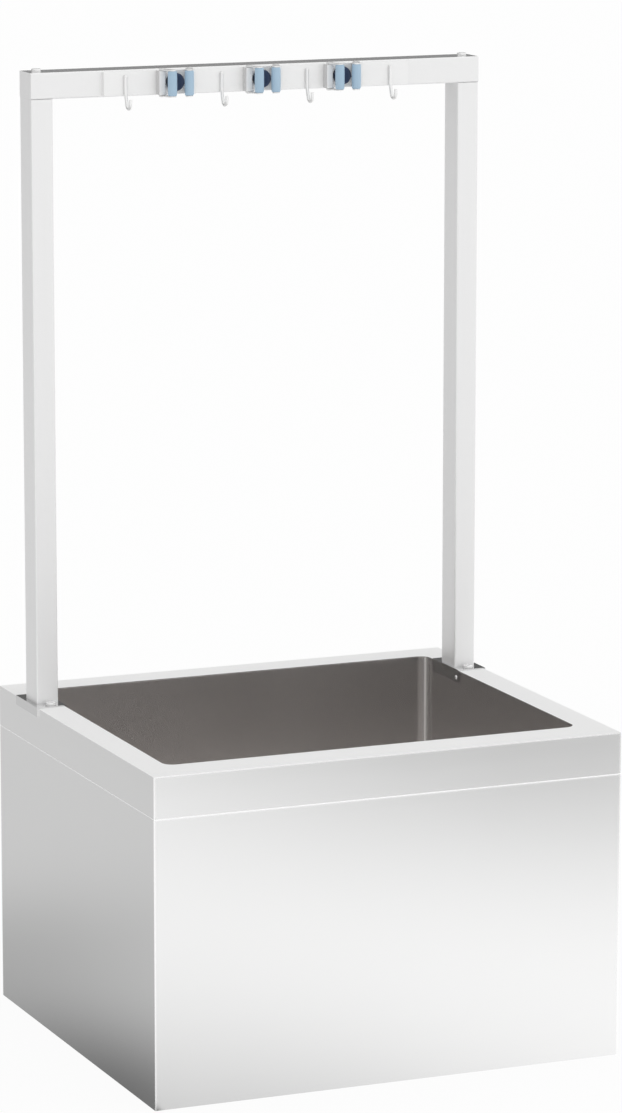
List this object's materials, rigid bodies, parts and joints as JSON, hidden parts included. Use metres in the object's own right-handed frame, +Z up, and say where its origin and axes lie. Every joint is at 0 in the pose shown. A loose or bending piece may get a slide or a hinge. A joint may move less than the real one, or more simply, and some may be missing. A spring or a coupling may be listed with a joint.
{
  "type": "mop service sink",
  "caption": "Floor-standing stainless mop sink with a deep bowl, strainer drain and an upright frame carrying a rail of hooks and sprung handle clips.",
  "frame": {"origin": "on the floor under the middle of the box", "axes": "+X to the right seen from the front, +Y to the back, +Z up"},
  "size_m": [0.603, 0.535, 1.1785],
  "materials": {
    "satin_sheet": "satin stainless sheet with fine level brushing",
    "bowl_sheet": "half-bright stainless sheet, brushed, reflecting softly",
    "frame_tube": "satin stainless rectangular tube, brushed along its length",
    "saddle_sheet": "bright stainless sheet, nearly mirror on its top",
    "rail_sheet": "light satin stainless",
    "hook_wire": "bent bright stainless wire",
    "bracket_sheet": "bright folded stainless",
    "arm_sheet": "pressed stainless arm",
    "bright_fastener": "bright stainless fastener",
    "plain_fastener": "plain stainless nut",
    "spring_wire": "drawn spring wire",
    "inner_steel": "galvanised steel angle and channel",
    "foot_plastic": "black moulded foot on a zinc stud",
    "drain_steel": "polished stainless drain",
    "seal_rubber": "black sealing rubber",
    "white_plastic": "white moulded plastic",
    "grip_rubber": "soft light blue rubber",
    "bumper_rubber": "dark navy rubber"
  },
  "bodies": {
    "base": {"deck": "satin_sheet", "bowl": "bowl_sheet", "skirt_front": "satin_sheet", "skirt_back": "satin_sheet", "skirt_left": "satin_sheet", "skirt_right": "satin_sheet", "post_front_left": "inner_steel", "post_front_right": "inner_steel", "post_back_left": "inner_steel", "post_back_right": "inner_steel", "bearer_front": "inner_steel", "bearer_back": "inner_steel", "foot_locknuts": "plain_fastener", "drain_flange": "drain_steel", "drain_gasket": "seal_rubber", "drain_washer": "seal_rubber", "drain_locknut": "white_plastic", "waste_pipe": "white_plastic", "waste_pipe_nut": "white_plastic", "saddle_left": "saddle_sheet", "saddle_right": "saddle_sheet", "saddle_bolts": "bright_fastener", "saddle_nuts": "plain_fastener", "saddle_screws": "bright_fastener", "upright_left": "frame_tube", "upright_right": "frame_tube", "crossbar": "frame_tube", "corner_blocks": "inner_steel", "top_bolts": "bright_fastener", "rail": "rail_sheet", "hook_1": "hook_wire", "hook_2": "hook_wire", "hook_3": "hook_wire", "hook_4": "hook_wire", "clip_1_bracket": "bracket_sheet", "clip_2_bracket": "bracket_sheet", "clip_3_bracket": "bracket_sheet", "clip_bumpers": "bumper_rubber", "clip_pins": "plain_fastener", "clip_springs": "spring_wire", "clip_screws": "plain_fastener"},
    "strainer": {"strainer_basket": "drain_steel", "strainer_knob": "drain_steel"},
    "foot_front_left": {"foot_front_left": "foot_plastic"},
    "foot_front_right": {"foot_front_right": "foot_plastic"},
    "foot_back_left": {"foot_back_left": "foot_plastic"},
    "foot_back_right": {"foot_back_right": "foot_plastic"},
    "clip_1_left": {"clip_1_arm_left": "arm_sheet", "clip_1_grip_left": "grip_rubber"},
    "clip_1_right": {"clip_1_arm_right": "arm_sheet", "clip_1_grip_right": "grip_rubber"},
    "clip_2_left": {"clip_2_arm_left": "arm_sheet", "clip_2_grip_left": "grip_rubber"},
    "clip_2_right": {"clip_2_arm_right": "arm_sheet", "clip_2_grip_right": "grip_rubber"},
    "clip_3_left": {"clip_3_arm_left": "arm_sheet", "clip_3_grip_left": "grip_rubber"},
    "clip_3_right": {"clip_3_arm_right": "arm_sheet", "clip_3_grip_right": "grip_rubber"}
  },
  "joints": [
    {"name": "strainer_lift", "type": "slide", "parent": "base", "child": "strainer", "axis": [0, 0, 1], "range_m": [0, 0.06]},
    {"name": "foot_front_left_height", "type": "slide", "parent": "base", "child": "foot_front_left", "axis": [0, 0, -1], "range_m": [0, 0.012]},
    {"name": "foot_front_right_height", "type": "slide", "parent": "base", "child": "foot_front_right", "axis": [0, 0, -1], "range_m": [0, 0.012]},
    {"name": "foot_back_left_height", "type": "slide", "parent": "base", "child": "foot_back_left", "axis": [0, 0, -1], "range_m": [0, 0.012]},
    {"name": "foot_back_right_height", "type": "slide", "parent": "base", "child": "foot_back_right", "axis": [0, 0, -1], "range_m": [0, 0.012]},
    {"name": "clip_1_left_swing", "type": "hinge", "parent": "base", "child": "clip_1_left", "pos_m": [-0.1306, 0.1315, 1.159], "axis": [0, 0, -1], "range_deg": [0, 35], "stiffness_Nm_per_rad": 0.3, "springref_deg": -20.05},
    {"name": "clip_1_right_swing", "type": "hinge", "parent": "base", "child": "clip_1_right", "pos_m": [-0.0956, 0.1315, 1.159], "axis": [0, 0, 1], "range_deg": [0, 35], "stiffness_Nm_per_rad": 0.3, "springref_deg": -20.05},
    {"name": "clip_2_left_swing", "type": "hinge", "parent": "base", "child": "clip_2_left", "pos_m": [-0.0174, 0.1315, 1.159], "axis": [0, 0, -1], "range_deg": [0, 35], "stiffness_Nm_per_rad": 0.3, "springref_deg": -20.05},
    {"name": "clip_2_right_swing", "type": "hinge", "parent": "base", "child": "clip_2_right", "pos_m": [0.0176, 0.1315, 1.159], "axis": [0, 0, 1], "range_deg": [0, 35], "stiffness_Nm_per_rad": 0.3, "springref_deg": -20.05},
    {"name": "clip_3_left_swing", "type": "hinge", "parent": "base", "child": "clip_3_left", "pos_m": [0.089, 0.1315, 1.159], "axis": [0, 0, -1], "range_deg": [0, 35], "stiffness_Nm_per_rad": 0.3, "springref_deg": -20.05},
    {"name": "clip_3_right_swing", "type": "hinge", "parent": "base", "child": "clip_3_right", "pos_m": [0.124, 0.1315, 1.159], "axis": [0, 0, 1], "range_deg": [0, 35], "stiffness_Nm_per_rad": 0.3, "springref_deg": -20.05}
  ]
}
